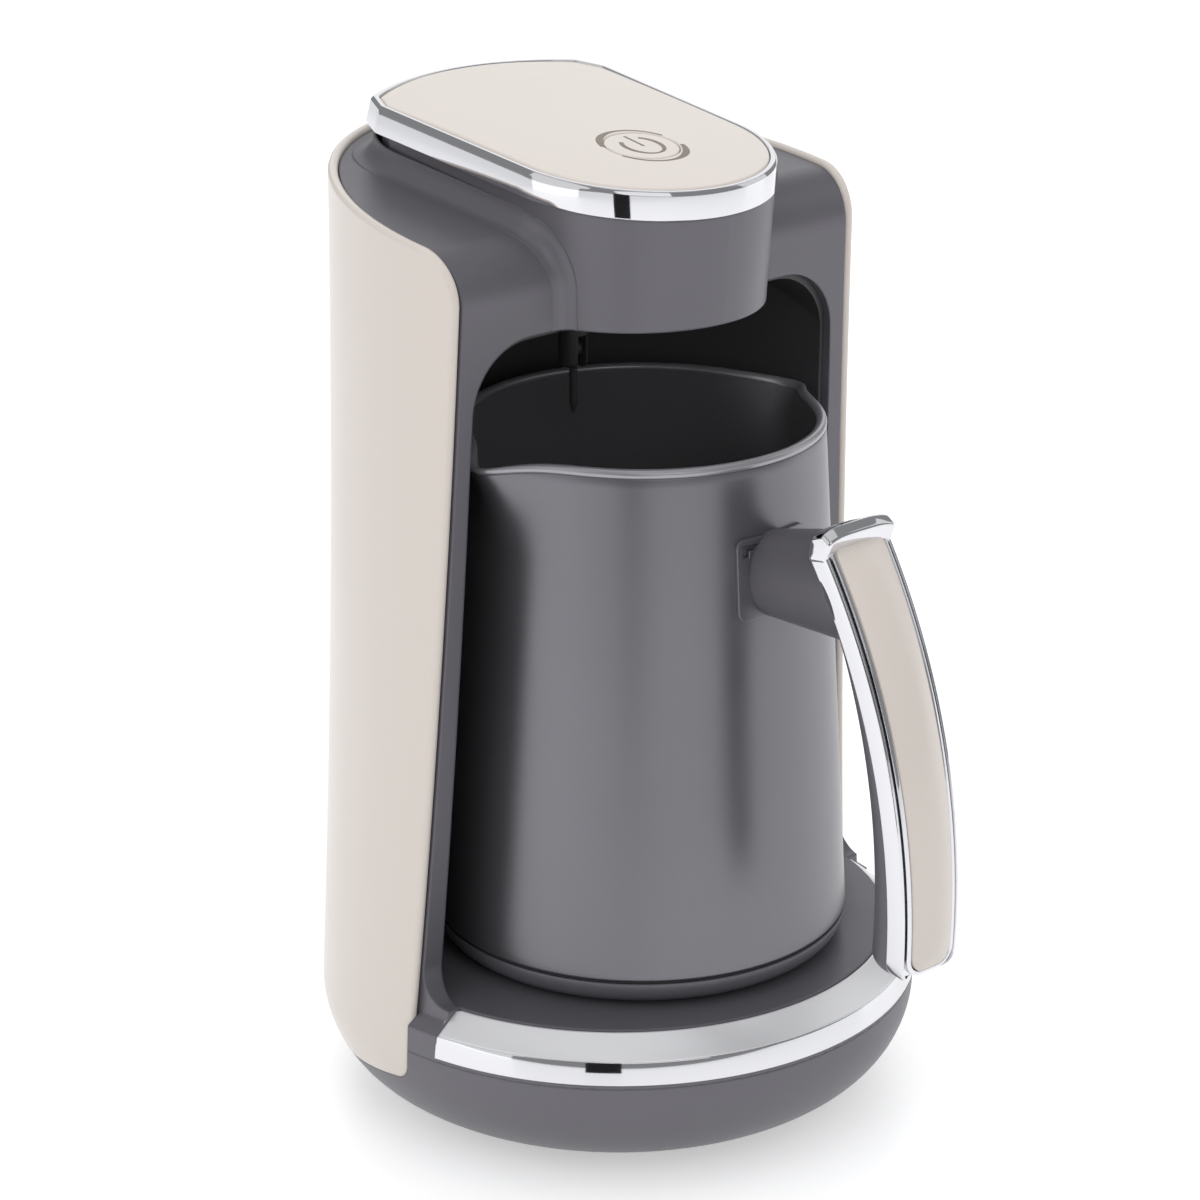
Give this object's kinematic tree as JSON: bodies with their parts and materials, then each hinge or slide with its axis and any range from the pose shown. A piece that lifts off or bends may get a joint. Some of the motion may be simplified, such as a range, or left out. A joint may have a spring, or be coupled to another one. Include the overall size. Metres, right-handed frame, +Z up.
{
  "type": "electric turkish coffee maker",
  "caption": "Electric Turkish coffee maker: round base, tall cream and grey housing, tilted chrome-banded head with a power button, and a grey jug with a side grip.",
  "frame": {"origin": "on the table, under the middle of the whole depth from grip to cord gland; the base's own axis stands 15.74 mm behind it", "axes": "+Z up, -Y to the front where the jug draws out, +X to the right for someone who faces the front"},
  "size_m": [0.144, 0.1803, 0.2381],
  "materials": {
    "grey_plastic": "satin",
    "cream_panel": "satin gloss",
    "chrome_trim": "polished",
    "black_liner": "satin",
    "grey_paint": "satin metallic",
    "dark_coating": "non-stick, satin",
    "rubber": "matte",
    "steel": "zinc plated",
    "heater_metal": "as cast",
    "brass_pins": "plated",
    "circuit_board": "lacquered",
    "light_plastic": "clear",
    "component_black": "moulded"
  },
  "bodies": {
    "housing": {"base_tub": "grey_plastic", "rubber_feet": "rubber", "base_screws": "steel", "main_housing": "grey_plastic", "wrap_shell": "cream_panel", "bay_liner": "black_liner", "base_chrome_arc": "chrome_trim", "chrome_band": "chrome_trim", "top_plate": "cream_panel", "light_guide": "light_plastic", "control_board": "circuit_board", "tact_switch": "component_black", "status_lamps": "light_plastic", "buzzer": "component_black", "board_screws": "steel", "sensor_boss": "black_liner", "probe_pin": "steel", "power_socket": "black_liner", "contact_pins": "brass_pins", "power_board": "circuit_board", "power_relay": "component_black", "terminal_block": "light_plastic", "supply_coil": "component_black", "capacitor": "component_black", "power_screws": "steel", "cord_gland": "rubber", "cord_clamp": "component_black", "clamp_screws": "steel"},
    "jug": {"jug_jacket": "grey_paint", "jug_bowl": "dark_coating", "jug_base_cup": "grey_plastic", "jug_base_screws": "steel", "jug_seal": "rubber", "heater_plate": "heater_metal", "heater_element": "steel", "thermostat": "component_black", "thermal_fuse": "steel", "jug_plug": "black_liner", "grip_mount_plate": "grey_paint", "grip_spine": "grey_plastic", "grip_frame": "chrome_trim", "grip_rim": "chrome_trim", "grip_inlay": "cream_panel", "grip_screw": "steel"},
    "probe": {"foam_probe": "steel"},
    "button": {"power_button": "cream_panel"}
  },
  "joints": [
    {"name": "jug_draw", "type": "slide", "parent": "housing", "child": "jug", "axis": [0, -1, 0], "range_m": [0, 0.15]},
    {"name": "probe_swing", "type": "hinge", "parent": "housing", "child": "probe", "pos_m": [0, 0.03174, 0.1785], "axis": [1, 0, 0], "range_deg": [-70, 70]},
    {"name": "power_press", "type": "slide", "parent": "housing", "child": "button", "axis": [0, 0.1191, -0.9929], "range_m": [0, 0.0008], "stiffness_N_per_m": 500}
  ]
}
